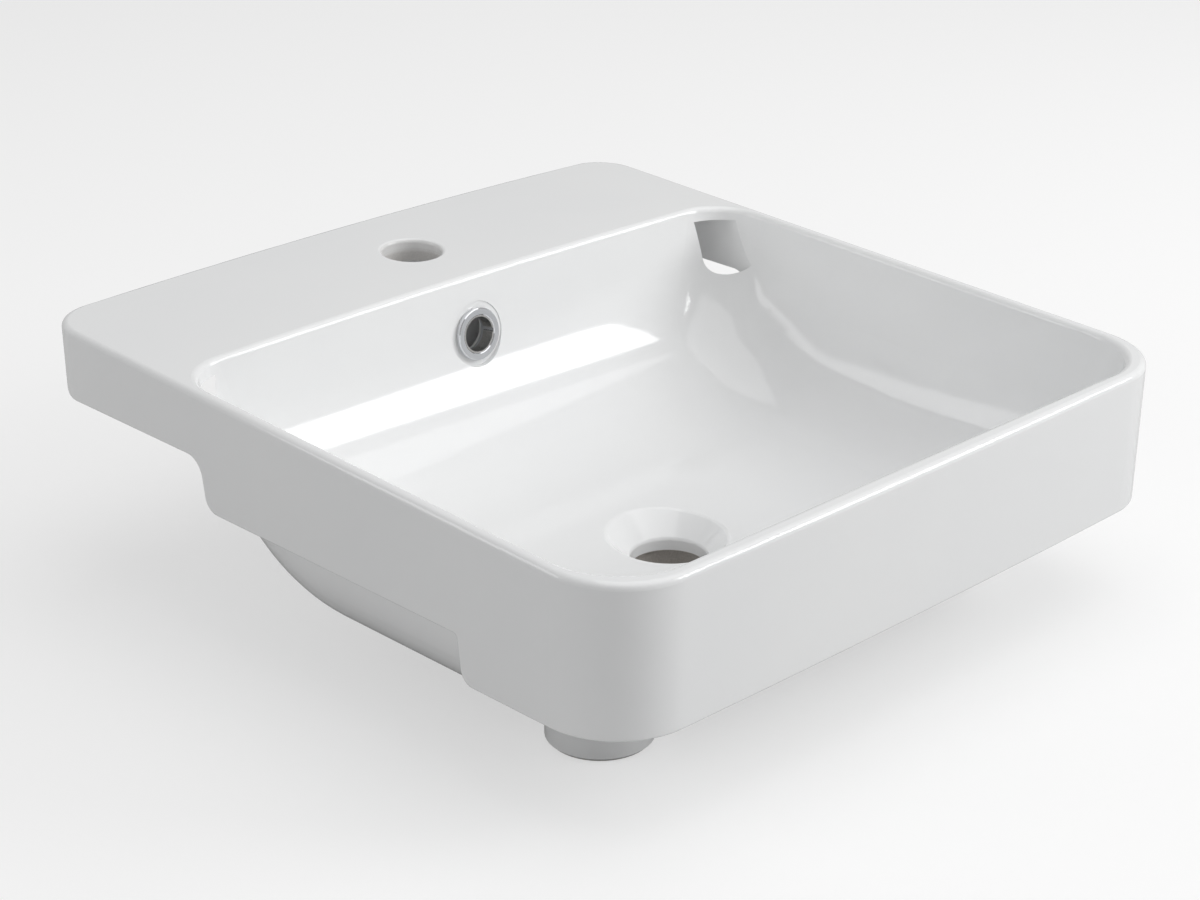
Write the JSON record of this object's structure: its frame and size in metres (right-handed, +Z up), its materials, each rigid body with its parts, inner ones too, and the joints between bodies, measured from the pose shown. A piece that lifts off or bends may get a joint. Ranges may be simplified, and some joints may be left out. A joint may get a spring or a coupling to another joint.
{
  "type": "semi recessed basin",
  "caption": "Rectangular semi recessed china basin with a rear tap ledge, stepped bench skirt, recessed waste, overflow and round stand-off feet.",
  "frame": {"origin": "middle of the footprint, on the surface the basin stands on", "axes": "+X to the right seen from the front, +Y towards the wall, +Z up"},
  "size_m": [0.4502, 0.4679, 0.1658],
  "materials": {
    "china": "white gloss glaze",
    "chromed_metal": "polished chrome",
    "spring_steel": "bright drawn",
    "seal_rubber": "matt translucent grey"
  },
  "bodies": {
    "root": {"basin_body": "china", "overflow_ring": "chromed_metal", "overflow_spring_sleeve": "spring_steel", "overflow_seal": "seal_rubber"}
  },
  "joints": []
}
